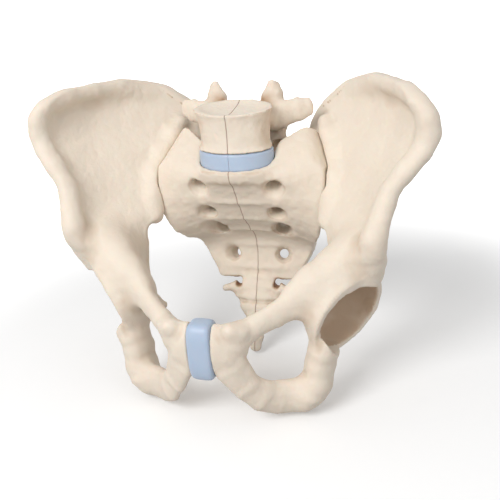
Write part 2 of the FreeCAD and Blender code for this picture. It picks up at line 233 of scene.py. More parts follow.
def shifted(array, axis, start, stop):
    """The array between two indices of one axis."""
    cut = [slice(None)] * array.ndim
    cut[axis] = slice(start, stop)
    return array[tuple(cut)]


def surface_net(values, low, step):
    """Points and quads where the sampled field changes sign."""
    inside = values < 0
    cells = tuple(size - 1 for size in values.shape)
    total = np.zeros(cells + (3,), np.float32)
    count = np.zeros(cells, np.float32)
    crossings = []
    for axis in range(3):
        first, second = shifted(values, axis, 0, -1), shifted(values, axis, 1, None)
        cross = shifted(inside, axis, 0, -1) != shifted(inside, axis, 1, None)
        part = np.where(cross, first / np.where(cross, first - second, 1), 0)
        crossings.append(cross)
        side_a, side_b = [other for other in range(3) if other != axis]
        for lift_a in (0, 1):
            for lift_b in (0, 1):
                def view(array):
                    """The part of an array that one corner of each cell sees."""
                    array = shifted(array, side_a, lift_a, cells[side_a] + lift_a)
                    return shifted(array, side_b, lift_b, cells[side_b] + lift_b)
                hit = view(cross)
                total[..., axis] += view(part)
                total[..., side_a] += hit * lift_a
                total[..., side_b] += hit * lift_b
                count += hit
    used = count > 0
    index = np.full(cells, -1)
    index[used] = np.arange(used.sum())
    spots = np.argwhere(used) + total[used] / count[used][:, None]
    faces = []
    for axis in range(3):
        side_a, side_b = [(1, 2), (2, 0), (0, 1)][axis]
        cross = shifted(shifted(crossings[axis], side_a, 1, -1), side_b, 1, -1)
        start = shifted(shifted(shifted(inside, axis, 0, -1), side_a, 1, -1), side_b, 1, -1)
        where = np.argwhere(cross)
        outward = start[cross]
        step_a, step_b = np.eye(3, dtype=int)[side_a], np.eye(3, dtype=int)[side_b]
        home = where + step_a + step_b
        corners = [home - step_a - step_b, home - step_b, home, home - step_a]
        quad = np.stack([index[tuple(corner.T)] for corner in corners], 1)
        quad[~outward] = quad[~outward][:, ::-1]
        faces.append(quad)
    return low + spots * step, np.concatenate(faces)


def slope_of(field, spots, reach=0.3):
    """Gradient of a field by small steps both ways along each axis."""
    slopes = []
    for axis in np.eye(3):
        slopes.append((field(spots + axis * reach) - field(spots - axis * reach)) / (2 * reach))
    return np.stack(slopes, 1)


def shape_field(field, low, high, step):
    """Surface of a field: net points, pushed onto the zero of the field.

    A push is the slope times the field's value over the slope squared, and no longer than
    a share of a cell.
    """
    low = np.asarray(low, float)
    spots, faces = surface_net(sample_field(field, low, high, step), low, step)
    for turn in range(PUSH_TURNS):
        slope = slope_of(field, spots)
        push = slope * (field(spots) / np.maximum((slope * slope).sum(1), LEAST_SLOPE))[:, None]
        far = np.maximum(size_of(push) / (step * LONGEST_PUSH), 1)
        spots = spots - push / far[:, None]
    return spots, faces


def straight_out(field, spots):
    """Slope of a field, brought to a length of one."""
    slope = slope_of(field, spots)
    return slope / np.maximum(size_of(slope), 1e-6)[:, None]


def hollow_of(field, spots, reach):
    """How hollow the surface is: 1 less the field a given reach straight out, over that reach."""
    return np.clip(1 - field(spots + straight_out(field, spots) * reach) / reach, 0, 1)


# %% [markdown]
# The real model is cast in two halves, and each of them ends in a flat face with a crisp
# rim. The field of a bone runs on past the middle, and the mesh is cut there and closed,
# because a net of cells would round that rim. Each half stands back a hair from the median
# plane, and the gap between them is the fine line that the eye sees.

# %% Field to Blender object
CAST = {}
SEAM = 0.1
COARSE_GRAIN = 5.0
FINE_GRAIN = 2.6
FINE_SHARE = 0.6
GRAIN_SEEDS = {"left": 11, "right": 12}


def part_in_middle(mesh, side):
    """Cut a mesh just beside the median plane, close it flat and keep its rim crisp."""
    shell = bmesh.new()
    shell.from_mesh(mesh)
    everything = shell.verts[:] + shell.edges[:] + shell.faces[:]
    cut = bmesh.ops.bisect_plane(shell, geom=everything, plane_co=(side * SEAM * MM, 0, 0),
                                 plane_no=(side, 0, 0), clear_inner=True)
    rim = [item for item in cut["geom_cut"] if isinstance(item, bmesh.types.BMEdge)]
    cap = bmesh.ops.triangle_fill(shell, use_beauty=True, edges=rim, normal=(-side, 0, 0))
    for edge in rim:
        edge.smooth = False
    for item in cap["geom"]:
        if isinstance(item, bmesh.types.BMFace):
            item.smooth = False
    shell.to_mesh(mesh)
    shell.free()


def build_piece(name, spots, faces, nodes, marks, part_side=0):
    """A smooth mesh in metres with its marks as point attributes, riding on the root body."""
    mesh = bpy.data.meshes.new(name)
    mesh.from_pydata((spots * MM).tolist(), [], faces.tolist())
    mesh.polygons.foreach_set("use_smooth", np.ones(len(faces), bool))
    for mark, values in marks.items():
        layer = mesh.attributes.new(mark, "FLOAT", "POINT")
        layer.data.foreach_set("value", values.astype(np.float32))
    mesh.update()
    if part_side:
        part_in_middle(mesh, part_side)
    piece = bpy.data.objects.new(name, mesh)
    bpy.context.collection.objects.link(piece)
    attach(piece, "root")
    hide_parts(*nodes)
    CAST[name] = piece
    print(name, "points:", len(spots), "faces:", len(faces))


def build_pair(name, node, field, low, high, step, grain, hollow_reach, parted=True, shade_paint=None):
    """Shape the left piece, then mirror it; each side gets its own fine grain."""
    spots, faces = shape_field(field, low, high, step)
    hollow = hollow_of(field, spots, hollow_reach)
    # Painted shade of its own, as in the hip socket, is taken into the hollow mark.
    if shade_paint:
        hollow = np.maximum(hollow, shade_paint(spots))
    outward = straight_out(field, spots)
    for side, sign in (("left", 1), ("right", -1)):
        seed = GRAIN_SEEDS[side]
        bumps = ripple(spots, COARSE_GRAIN, seed) + FINE_SHARE * ripple(spots, FINE_GRAIN, seed + 20)
        moved = spots - outward * (np.abs(bumps) * grain)[:, None]
        moved[:, 0] *= sign
        order = faces if sign > 0 else faces[:, ::-1]
        nodes = ["%s_%s" % (side, node)]
        part_side = sign if parted else 0
        build_piece("%s_%s" % (side, name), moved, order, nodes, {"hollow": hollow}, part_side)


# %% [markdown]
# The hip bone is a bent plate on a thick hub. Slices through the iliac plate give its
# bend, with four spots a slice: front border, fossa, neck and back border. Between the
# slices a cubic carries them, and the plate's field is the distance to the bent line
# less half the local thickness. A rim of its own thickens the crest.

# %% Iliac plate
KNOTS = np.linspace(0, 1, 4)
CHORDS = 18
ROUND_OFF = 2.0
CREST_SINK = 1.7
WING_LEVELS = [76, 95, 112, 128, 145, 160, 175, 188, 198, 205.5]
WING_SLICES = [
    [(86, -22, 13), (79, -22, 15), (75, -15, 15), (69, -5, 7)],
    [(94, -22, 15), (83, -20, 19), (74, -12, 17), (68, -2, 8)],
    [(98.5, -34, 13), (86, -19, 16), (75, -6, 13), (66, 3, 9)],
    [(101, -33, 11), (90, -8, 9), (66, 18, 14), (50, 46, 15)],
    [(106, -25, 10), (94, 1, 6), (65, 33, 13), (47, 64, 17)],
    [(117, -20, 11), (101, 7, 5), (64, 42, 12), (47, 70, 17)],
    [(127.2, -14, 12), (106, 13, 5), (68, 51, 10), (51, 69, 14)],
    [(126.8, -14, 11), (109, 15, 5), (77, 52, 8), (62, 65, 11)],
    [(121, -12, 9), (109, 14, 7), (88, 43, 8), (75, 57, 9)],
    [(113, 1, 6), (107, 12, 7), (99, 27, 7), (93, 36, 6)],
]
CREST = [
    ((99, -38, 120), 5.5), ((102, -34.5, 130), 5.5), ((105, -28.5, 139), 5.5),
    ((108, -25, 148), 5.5), ((115, -22, 157), 6), ((124.6, -17, 167), 6.2),
    ((128.2, -14, 178), 6), ((127.4, -14.5, 188), 5.8), ((121.5, -12, 196), 5),
    ((111, 2, 200), 4.5), ((100, 19, 200.5), 4.5), ((90, 36, 199), 4.8),
    ((79, 52, 193), 5), ((68, 64, 186), 5.3), ((58, 70, 177), 5.8),
    ((50, 71, 163), 6.5), ((46, 69, 148), 7), ((46, 60, 135), 6.5),
]


def cubic_shares(places):
    """Lagrange weights of the four spots: each is 1 at its own knot and 0 at the others."""
    shares = np.ones((len(places), 4))
    for one in range(4):
        for other in range(4):
            if one != other:
                shares[:, one] *= (places - KNOTS[other]) / (KNOTS[one] - KNOTS[other])
    return shares


def plate(points):
    """Distance to the bent iliac plate: a cubic through four spots at each height.

    A spot is its x, its y and the thickness there, which changes evenly between spots.
    A chain of short chords finds the place on the cubic that is nearest, and the distance is
    then taken to the cubic itself, so that no chord leaves a crease in the surface. Half the
    thickness there comes off it. Above the last level and below the first, the distance is
    the root of its square and of the height past that level squared, which rounds the edge.
    """
    controls = eased_table(WING_LEVELS, WING_SLICES, points[:, 2])
    places = np.linspace(0, 1, CHORDS + 1)
    cubic = cubic_shares(places)
    flat = points[:, :2]
    before = (controls[:, :, :2] * cubic[0][None, :, None]).sum(1)
    closest = np.full(len(points), 1e6)
    nearest = np.zeros(len(points))
    for number in range(1, len(places)):
        after = (controls[:, :, :2] * cubic[number][None, :, None]).sum(1)
        span = after - before
        offset = flat - before
        part = np.clip((offset * span).sum(1) / np.maximum((span * span).sum(1), 1e-6), 0, 1)
        gap = size_of(offset - span * part[:, None])
        closer = gap < closest
        closest = np.where(closer, gap, closest)
        nearest = np.where(closer, (number - 1 + part) / CHORDS, nearest)
        before = after
    centre = (controls[:, :, :2] * cubic_shares(nearest)[:, :, None]).sum(1)
    even_shares = np.stack([np.interp(nearest, KNOTS, row) for row in np.eye(4)], 1)
    thickness = (controls[:, :, 2] * even_shares).sum(1)
    distance = size_of(flat - centre) - thickness / 2
    above = points[:, 2] - WING_LEVELS[-1] + ROUND_OFF
    over = np.maximum(np.maximum(above, WING_LEVELS[0] - points[:, 2]), 0)
    return np.where(over > 0, np.sqrt(np.maximum(distance, 0) ** 2 + over * over), distance)


# %% [markdown]
# The hub holds the hip socket. Below it the ischium carries the weight in sitting, and two
# slim arms run forward to the pubic joint and close the ring around the obturator hole.
# The socket is a bowl of one radius that opens forward, outward and down, with a rough pit
# in its floor where no gristle lies.

# %% Hub, ischium and pubic arms
SOCKET = np.array([82.0, -28.0, 66.0])
SOCKET_RADIUS = 24.5
SOCKET_WALL = 4.8
SOCKET_RIM = 0.5
SOCKET_YAW = math.radians(33)
SOCKET_DIP = math.radians(19)
PIT_RADIUS = 10.5
PIT_DEPTH = 0.8
PIT_END = -4.0
# Painted shade in the socket's bowl: how strong it is, and over what reach it fades at the rim.
BOWL_SHADE_PAINT = 0.55
SHADE_PAINT_FADE = 1.5
SOCKET_AXIS = np.array([
    math.cos(SOCKET_DIP) * math.cos(SOCKET_YAW),
    -math.cos(SOCKET_DIP) * math.sin(SOCKET_YAW),
    -math.sin(SOCKET_DIP),
])
ISCHIUM = [
    ((82, -14, 100), 11, 13), ((82, -15, 84), 13, 16), ((79, -25, 68), 13, 16),
    ((72, -34, 55), 11.5, 14.5), ((66.5, -36.5, 44), 9.8, 13), ((64, -37.5, 34), 9.8, 13),
    ((62, -40, 22), 10, 13), ((58, -43, 15), 9.5, 12.5), ((56, -44, 11), 6.5, 10),
]
RAMUS_ROOT = [
    ((84, -24, 104), 12, 13), ((74, -30, 96), 12, 14), ((64, -36, 90), 10, 13),
    ((53, -43, 83), 6.5, 10),
]
UPPER_RAMUS = [
    ((71, -34, 89), 10, 14), ((61, -39, 87), 8, 12), ((51, -46, 80), 6, 9.5),
    ((41, -54, 75), 5.5, 8), ((30, -63, 71), 6, 7.3), ((20, -71, 66), 7, 11),
]
LOWER_RAMUS = [
    ((54, -46, 16), 6.5, 12), ((41, -53, 16), 5.2, 12), ((32, -61, 21), 5, 10.5),
    ((24, -67.5, 31), 4.8, 9), ((17, -72, 46), 5.4, 11),
]
PUBIC_BODY = [((8, -73.5, 59), 8, 17.5), ((14, -73, 59), 7, 17), ((20, -70.5, 63), 4.6, 11)]
PUBIC_TUBERCLE = [((24, -72, 72), 4.5), ((20, -76, 74), 4)]
ISCHIAL_SPINE = [((69, -17, 56), 5, 12), ((62, -8, 52), 3.5, 7), ((57, -3, 50), 1.8, 2.6)]
FRONT_SPINE = [
    ((99, -38, 121), 5.5), ((98.5, -36, 112), 5), ((98, -31, 103), 5.5), ((96, -26, 92), 5.5),
]
JOINT_FACE = [
    ((62, 9, 115), 6.5), ((64, 15, 127), 7), ((65, 24, 139), 7.5), ((63, 36, 152), 7),
    ((57, 45, 164), 6), ((53, 52, 170), 5),
]
JOINT_CRACK = 0.35
PUBIC_GAP = 7.5
DISC_CLEARANCE = 0.15
HIP_RIPPLES = [(0.25, 16, 3), (0.12, 7, 4)]


def socket_parts(points):
    """Distance along the socket's axis and away from it."""
    offset = points - SOCKET
    depth = offset @ SOCKET_AXIS
    return depth, size_of(offset - depth[:, None] * SOCKET_AXIS)


def painted_socket_shade(points):
    """Painted shade that stays in the socket's bowl: full on its wall, none outside it."""
    depth = socket_parts(points)[0]
    inward = SOCKET_RADIUS + SHADE_PAINT_FADE - size_of(points - SOCKET)
    return BOWL_SHADE_PAINT * np.clip(inward / SHADE_PAINT_FADE, 0, 1) * (depth < 0)


def hip_mass(points):
    """Everything the hip bone is made of, before the socket and the joints are cut."""
    whole = smooth_min(plate(points), rod(points, CREST, 2.5) + CREST_SINK, 9)
    depth = socket_parts(points)[0]
    shell = size_of(points - SOCKET) - SOCKET_RADIUS - SOCKET_WALL
    cup = smooth_max(shell, depth - SOCKET_RIM, 1.6)
    hub = smooth_min(limb(points, ISCHIUM, AHEAD, 2), cup, 4)
    arms = smooth_min(limb(points, UPPER_RAMUS, UP, 2), limb(points, LOWER_RAMUS, UP, 2), 3)
    arms = smooth_min(arms, limb(points, PUBIC_BODY, UP, 2), 3)
    whole = smooth_min(whole, hub, 7)
    whole = smooth_min(whole, limb(points, RAMUS_ROOT, UP, 4), 14)
    whole = smooth_min(whole, arms, 6)
    whole = smooth_min(whole, limb(points, ISCHIAL_SPINE, UP), 5)
    whole = smooth_min(whole, rod(points, JOINT_FACE, 4), 5)
    whole = smooth_min(whole, rod(points, FRONT_SPINE, 3), 8)
    return smooth_min(whole, rod(points, PUBIC_TUBERCLE), 5)


def hip(points):
    """The hip bone: its mass less the socket, its rough pit and both joints."""
    depth, away = socket_parts(points)
    bowl = np.minimum(size_of(points - SOCKET), np.where(depth > 0, away, 1e3)) - SOCKET_RADIUS
    pit = smooth_max(away - PIT_RADIUS, -(depth + SOCKET_RADIUS + PIT_DEPTH), 3)
    pit = smooth_max(pit, depth - PIT_END, 2)
    whole = smooth_max(hip_mass(points), -bowl, 1.6)
    whole = smooth_max(whole, -pit, 1.5)
    whole = smooth_max(whole, JOINT_CRACK - sacrum_mass(points), 1.2)
    whole = smooth_max(whole, PUBIC_GAP + DISC_CLEARANCE - points[:, 0], 1.0)
    return uneven(points, whole, HIP_RIPPLES)


# %% [markdown]
# The sacrum is a curved shield. A line down the middle of its inner face gives every point
# a station s along the curve and a depth d behind it. Front and back are then two height
# functions of s and of the distance from the middle, which is how the ridges between the
# five fused segments and the hollow of the shield get their places. Its base is the plane
# that the lowest disc rests on, and its wings rise behind that plane to a blunt ridge.
# Where a height isn't a true distance, a slope below one brings it close to one.

# %% Sacrum
SHIELD_LINE = [
    (-2, 148), (6, 134), (13, 122), (23, 108), (34.5, 97), (44, 87), (46.5, 78), (45, 66), (43, 52),
]
SHIELD_CHORDS = 39
SHIELD_STATIONS = [0, 16, 30, 47, 63, 77, 86, 98, 112]
SHIELD_WIDTH = [60, 60, 60, 55, 49.5, 45.5, 42.5, 36.5, 30]
SHIELD_SIDE_OFFSET = [24, 10, 0, -9, -12, -7, -1, 0, 0]
SHIELD_THICKNESS = [52, 54, 53, 47, 35, 24, 19, 15, 10]
SHIELD_SIDE_THICKNESS = [43, 41, 39, 35, 25, 17, 13, 10, 8]
SHIELD_HALF = 57
SIDE_GAIN = 1.1
SIDE_POWER = 1.3
SHIELD_END = 111
SHIELD_TOP_WIDTH = 59.5
SHIELD_TAPER = 0.55
TAPER_LEVEL = 147
SEGMENT_RIDGES = [27, 45, 63, 84, 102]
RIDGE_HEIGHT = 1.0
RIDGE_LENGTH = 2.6
RIDGE_REACH = 21
FRONT_EDGE = -0.5
BASE_PLANE = (148.0, 8)
BASE_WIDE = 26
BASE_DEEP = 17.7
BASE_CENTRE = 17
BASE_SCALE = 17
BASE_SLOPE = 0.99
BASE_BOTTOM = 141
BASE_UNDERCUT = 0.3
ALA_START = 20
ALA_BLEND = 9
ALA_SIDE = 28
ALA_DEPTH = 26
ALA_TOP = 163.6
ALA_SWEEP = 0.75
ALA_CLIMB = 0.5
ALA_FRONT_FALL = 0.85
ALA_BACK_FALL = 0.9
WING_SLOPE = 0.85


def tilted(points, plane):
    """Level of a plane that tilts up to the back.

    It is the level at the front edge, plus the way back from there times the tangent of
    the tilt.
    """
    level, tilt = plane
    return level + (points[:, 1] - FRONT_EDGE) * math.tan(math.radians(tilt))


def shield_place(points):
    """Station along the inner midline, and depth behind it, in the sagittal plane.

    The nearest of many short chords of the midline gives both. The first and last chord run
    on without end, so that points past them have a place too.
    """
    line = np.asarray(SHIELD_LINE, float)
    steps = np.concatenate([[0], np.cumsum(size_of(np.diff(line, axis=0)))])
    fine = np.linspace(0, steps[-1], SHIELD_CHORDS + 1)
    line = eased_table(steps, line, fine)
    flat = points[:, 1:]
    best = np.full(len(points), 1e6)
    station = np.zeros(len(points))
    depth = np.zeros(len(points))
    travel = 0.0
    for number in range(len(line) - 1):
        span = line[number + 1] - line[number]
        length = math.sqrt((span * span).sum())
        offset = flat - line[number]
        low = -1e3 if number == 0 else 0.0
        high = 1e3 if number == len(line) - 2 else 1.0
        part = np.clip(offset @ span / (length * length), low, high)
        gap = offset - part[:, None] * span
        away = (gap * gap).sum(1)
        closer = away < best
        best = np.where(closer, away, best)
        station = np.where(closer, travel + part * length, station)
        depth = np.where(closer, gap @ (np.array([-span[1], span[0]]) / length), depth)
        travel += length
    return station, depth


def shield_top(points, side, plane):
    """Level of the sacrum's top, and how much of the way it has gone from base to wing.

    The way is 3 r r - 2 r r r, which starts and ends softly. In the middle the top is the
    base's plane, and on the wing it is a blunt ridge that falls off in front and behind.
    """
    rise = np.clip((side - ALA_START) / ALA_BLEND, 0, 1)
    rise = rise * rise * (3 - 2 * rise)
    ahead = points[:, 1] - (ALA_DEPTH + ALA_SWEEP * (side - ALA_SIDE))
    fall = np.where(ahead < 0, -ALA_FRONT_FALL, ALA_BACK_FALL) * ahead
    ridge = ALA_TOP + ALA_CLIMB * (side - ALA_SIDE) - fall
    return plane + (ridge - plane) * rise, rise


def sacrum_mass(points):
    """The solid shield with its wings and the base of the first segment, without holes."""
    side = np.abs(points[:, 0])
    station, depth = shield_place(points)
    known = eased_table(SHIELD_STATIONS, np.stack(
        [SHIELD_WIDTH, SHIELD_SIDE_OFFSET, SHIELD_THICKNESS, SHIELD_SIDE_THICKNESS], 1), station)
    width, side_offset, thick, side_thick = known.T
    share = np.clip(side / SHIELD_HALF, 0, 1.1)
    front = side_offset * (share * share)
    middle = np.exp(-(side / RIDGE_REACH) ** 4)
    for ridge in SEGMENT_RIDGES:
        front -= RIDGE_HEIGHT * np.exp(-((station - ridge) / RIDGE_LENGTH) ** 2) * middle
    thinning = np.clip(share * SIDE_GAIN, 0, 1) ** SIDE_POWER
    back = front + thick + (side_thick - thick) * thinning
    shield = smooth_max(front - depth, depth - back, 4)
    narrow = SHIELD_TOP_WIDTH - SHIELD_TAPER * np.maximum(points[:, 2] - TAPER_LEVEL, 0)
    shield = smooth_max(shield, side - np.minimum(width, narrow), 3)
    shield = smooth_max(shield, station - SHIELD_END, 3)
    plane = tilted(points, BASE_PLANE)
    top, rise = shield_top(points, side, plane)
    shield = smooth_max(shield, (points[:, 2] - top) * WING_SLOPE, 2.5 + 6 * rise)
    base = np.sqrt((points[:, 0] / BASE_WIDE) ** 2 + ((points[:, 1] - BASE_CENTRE) / BASE_DEEP) ** 2)
    base = smooth_max((base - 1) * BASE_SCALE, (points[:, 2] - plane) * BASE_SLOPE, 1.2)
    base = smooth_max(base, BASE_BOTTOM - points[:, 2] + BASE_UNDERCUT * points[:, 1], 5)
    return smooth_min(shield, base, 7)


# %% [markdown]
# What is added to the shield and cut out of it: a facet on each side for the vertebra, a
# row of knobs down the back, the tail bone with its two horns, four nerve holes a side and
# the canal. A nerve hole is a funnel that opens forward and runs back and inward, the
# upper ones rising and the lower ones falling. In each funnel station the first number is
# how far in from the mouth it lies, and the others give its radius: a share of the hole's,
# and a flare on top.

# %% Holes, facets and tail of the sacrum
SACRAL_FACET = [((19, 42, 150), 5, 7), ((20, 47, 160), 4, 6.5), ((21, 50, 167), 2.5, 5)]
BACK_KNOBS = [((0, 50, 148), 6.5), ((0, 60, 126), 6.5), ((0, 64, 105), 6), ((0, 63, 86), 5.5)]
CANAL = [
    ((0, 41, 185), 7.5, 11), ((0, 42, 152), 7.5, 11), ((0, 52, 128), 5, 9), ((0, 58, 100), 4, 6),
    ((0, 53, 70), 3, 4),
]
FORAMINA = [((27, 6, 134), 6), ((25, 18, 115), 5), ((24, 33, 97), 6), ((20, 45, 73), 4.6)]
FUNNEL = [(-8, 1.0, 3), (1, 1.0, 0), (10, 0.7, 0), (45, 0.6, 0)]
FIRST_HOLE_WAY = np.array([-0.12, 0.86, 0.5])
HOLE_WAY_STEP = np.array([-0.03, 0.0, -0.26])
TAIL = [
    ((0, 45, 54), 5, 12), ((0, 42, 47), 4.5, 17), ((0, 38.5, 41), 4.2, 17), ((0, 35, 34), 4, 13),
    ((0, 31, 25), 3.6, 8.5), ((0, 27, 14), 3.2, 5.5), ((0, 24, 5), 2.6, 4),
]
TAIL_HORN = [((8, 44, 48), 3.5), ((17, 41, 47.5), 3.2), ((25.5, 38.6, 46.6), 2.4)]
TAIL_JOINTS = [39, 27, 16]
TAIL_NOTCH = [((14.4, 55, 50.6), 2.0), ((14.4, 30, 50.6), 2.2), ((21, 28, 51.5), 2.2)]
GROOVE_DEPTH = 0.9
GROOVE_HALF = 1.6
DISC_SEAT = 0.2
SACRUM_RIPPLES = [(0.25, 13, 7), (0.15, 6, 8)]


def sacrum(points):
    """The sacrum: shield and tail with nerve holes, canal and the seat of the disc."""
    whole = sacrum_mass(points)
    whole = smooth_min(whole, limb(points, SACRAL_FACET, SIDEWAYS), 4)
    for centre, radius in BACK_KNOBS:
        whole = smooth_min(whole, ball(points, centre, radius), 7)
    tail = smooth_min(limb(points, TAIL, SIDEWAYS, 3), rod(points, TAIL_HORN), 4)
    for level in TAIL_JOINTS:
        tail = tail + GROOVE_DEPTH * np.exp(-((points[:, 2] - level) / GROOVE_HALF) ** 2)
    whole = smooth_min(whole, tail, 3)
    whole = smooth_max(whole, -rod(points, TAIL_NOTCH), 2)
    whole = smooth_max(whole, -limb(points, CANAL, SIDEWAYS), 2)
    for number, (mouth, radius) in enumerate(FORAMINA):
        back = unit(FIRST_HOLE_WAY + HOLE_WAY_STEP * number)
        stations = [(mouth + back * inward, radius * share + flare) for inward, share, flare in FUNNEL]
        whole = smooth_max(whole, -rod(points, stations), 3)
    whole = smooth_max(whole, DISC_SEAT - lumbar_disc(points), 0.6)
    return uneven(points, whole, SACRUM_RIPPLES)


# %% [markdown]
# The lumbar vertebra is a waisted drum with a bony arch behind it. The discs are soft
# ovals between the flat end faces, a hair smaller than the rims that hold them. A plane is
# given by its level at the front edge and its tilt in degrees.

# %% Lumbar vertebra and discs
DISC_TOP = (161, 2)
DISC_WIDE = 25.2
DISC_DEEP = 17.2
DISC_CENTRE = 17
DISC_WAIST = -0.25
BODY_TOP = (186.5, 7)
BODY_WIDE = 26.5
BODY_WIDENS = 1.8
BODY_HEIGHT = 25
BODY_DEEP = 18.3
BODY_CENTRE = 16.6
BODY_WAIST = 2.3
BODY_DISH = 2.2
DISH_SHARE = 0.82
END_INSET = 0.2
END_ROUND = 1.6
VERTEBRAL_CANAL = (11, 8, 42)
LUMBAR_RIPPLES = [(0.2, 11, 31), (0.1, 5, 32)]
PEDICLE = [((16, 27, 179), 6, 7), ((19, 36, 178), 6, 7.5), ((20, 46, 176), 6, 9)]
TRANSVERSE = [
    ((14, 36, 178), 5.5, 9), ((27, 39, 179), 4.2, 9), ((38, 42, 181.5), 3.4, 7.6),
    ((45, 44, 182.5), 2.6, 6),
]
LAMINA = [((22, 44, 177), 5, 9), ((13, 53, 174), 4, 10), ((-3, 60, 171), 4, 10)]
SPINOUS = [((0, 57, 171), 4, 9), ((0, 68, 168), 3, 10), ((0, 78, 165.5), 3.4, 7.5)]
UPPER_FACET = [((18.5, 41, 178), 5, 7.5), ((18.5, 42, 190), 3.2, 5.8), ((20, 41.5, 199.5), 1.8, 2.6)]
LOWER_FACET = [((17, 50, 176), 4, 6), ((19, 55, 166), 3.5, 6.5), ((19, 56, 158), 2.5, 4.5)]
MAMMILLARY = [((21.5, 44, 182), 4.5), ((22.5, 45, 192), 3.2), ((22.5, 45, 197), 2.2)]
PAD_CENTRE = (0.0, -73.4, 59.6)
PAD_TALL = 17.6
PAD_TAPER = 0.06
PAD_DEEP = 8.8
PAD_BOW = 0.0022
PAD_WALL = 8.4
PAD_SWELL = 0.8


def drum(points, wide, deep, centre, bottom, top, waist, dish):
    """An oval drum between two tilted planes.

    Its wall draws in by the waist at half height, and its upper face sinks by the dish in
    the middle: both by 1 less a fourth power of the way to the rim.
    """
    low, high = tilted(points, bottom), tilted(points, top)
    part = np.clip((points[:, 2] - low) / (high - low), 0, 1)
    draw = waist * np.clip(1 - (2 * part - 1) ** 4, 0, 1) ** 0.8
    around = np.sqrt((points[:, 0] / wide) ** 2 + ((points[:, 1] - centre) / deep) ** 2)
    wall = (around - 1) * deep + draw
    sink = dish * np.clip(1 - (around / DISH_SHARE) ** 4, 0, 1)
    whole = smooth_max(wall, low + END_INSET - points[:, 2], END_ROUND)
    return smooth_max(whole, points[:, 2] - high + END_INSET + sink, END_ROUND)


def lumbar(points):
    """The lowest lumbar vertebra, with its facets and its sideways process."""
    wide = BODY_WIDE + BODY_WIDENS * np.clip((points[:, 2] - DISC_TOP[0]) / BODY_HEIGHT, 0, 1)
    body = drum(points, wide, BODY_DEEP, BODY_CENTRE, DISC_TOP, BODY_TOP, BODY_WAIST, BODY_DISH)
    arch = [limb(points, stations) for stations in (PEDICLE, TRANSVERSE, LAMINA, SPINOUS)]
    arch += [limb(points, stations, SIDEWAYS) for stations in (UPPER_FACET, LOWER_FACET)]
    arch.append(rod(points, MAMMILLARY))
    whole = smooth_min(body, melt(arch, 5), 4)
    half_wide, half_deep, centre = VERTEBRAL_CANAL
    canal = np.sqrt((points[:, 0] / half_wide) ** 2 + ((points[:, 1] - centre) / half_deep) ** 2)
    whole = smooth_max(whole, (1 - canal) * half_deep, 2)
    return uneven(points, whole, LUMBAR_RIPPLES)


def lumbar_disc(points):
    """The disc under the vertebra: an oval that bulges a little at half height."""
    return drum(points, DISC_WIDE, DISC_DEEP, DISC_CENTRE, BASE_PLANE, DISC_TOP, DISC_WAIST, 0)


def pubic_disc(points):
    """The pubic disc: a pad between the flat ends of the pubic bones, squared off in front.

    Its outline is a superellipse of the fourth power, and it swells between the two bones by
    1 less the fourth power of the way to either.
    """
    offset = points - np.array(PAD_CENTRE)
    tall = PAD_TALL - PAD_TAPER * offset[:, 2]
    deep = PAD_DEEP - PAD_BOW * offset[:, 2] ** 2
    around = ((np.abs(offset[:, 1]) / deep) ** 4 + (np.abs(offset[:, 2]) / tall) ** 4) ** 0.25
    swell = PAD_SWELL * (1 - np.clip(np.abs(offset[:, 0]) / PUBIC_GAP, 0, 1) ** 4)
    wall = (around - 1) * PAD_WALL - swell
    return smooth_max(wall, np.abs(offset[:, 0]) - PUBIC_GAP, END_ROUND)


# %% [markdown]
# Each piece is cast in a box a little larger than itself. The hip bones are large and
# smooth, so their cells are coarser than those of the sacrum, the vertebra and the discs.
# The pubic disc is one piece, because it stays whole on the right hip bone.

# %% Cast all pieces
STEP = 1.25
FINE = 0.9
# The hips take painted shade in the socket's bowl into their hollow mark.
build_pair("hip_cast", "hip_bone", hip, (2, -92, -4), (142, 90, 212), STEP,
           grain=0.15, hollow_reach=7.0, parted=False, shade_paint=painted_socket_shade)
build_pair("sacrum_cast", "sacrum_half", sacrum, (-5, -8, -4), (62, 76, 178), FINE * 1.1,
           grain=0.12, hollow_reach=4.0)
build_pair("lumbar_cast", "lumbar_half", lumbar, (-5, -5, 152), (54, 88, 208), FINE,
           grain=0.1, hollow_reach=4.0)
build_pair("disc_cast", "disc_half", lumbar_disc, (-5, -4, 144), (28, 38, 168), FINE,
           grain=0.02, hollow_reach=3.0)
spots, faces = shape_field(pubic_disc, (-12, -88, 32), (12, -60, 84), FINE)
marks = {"hollow": hollow_of(pubic_disc, spots, 3.0)}
build_piece("pubic_disc_cast", spots, faces, ["pubic_disc"], marks)


# %% [markdown]
# Colours are written as sRGB hex, as a colour picker gives them, and one function turns
# them to the linear values that the shader wants. One small function adds a node, and the
# others build what all materials share: noise of a real size, a mix and a change of range.

# %% Colour and node helpers
MIX_SHARE, MIX_FIRST, MIX_SECOND, MIXED = 0, 6, 7, 2


def linear(hex_colour):
    """sRGB hex to linear RGBA: c / 12.92 up to 0.04045, else ((c + 0.055) / 1.055) ** 2.4."""
    values = [int(hex_colour[place:place + 2], 16) / 255 for place in (1, 3, 5)]
    values = [value / 12.92 if value <= 0.04045 else ((value + 0.055) / 1.055) ** 2.4
              for value in values]
    return (*values, 1.0)


def add_node(tree, kind, settings=None, values=None, links=None):
    """One node: its settings, its socket values and the links that come into it."""
    node = tree.nodes.new(kind)
    for key, value in (settings or {}).items():
        setattr(node, key, value)
    for key, value in (values or {}).items():
        node.inputs[key].default_value = value
    for key, socket in (links or {}).items():
        tree.links.new(socket, node.inputs[key])
    return node


def new_material(name):
    """An empty material, its node tree and the place of a point in metres."""
    material = bpy.data.materials.new(name)
    material.use_nodes = True
    tree = material.node_tree
    tree.nodes.clear()
    return material, tree, add_node(tree, "ShaderNodeTexCoord").outputs["Object"]


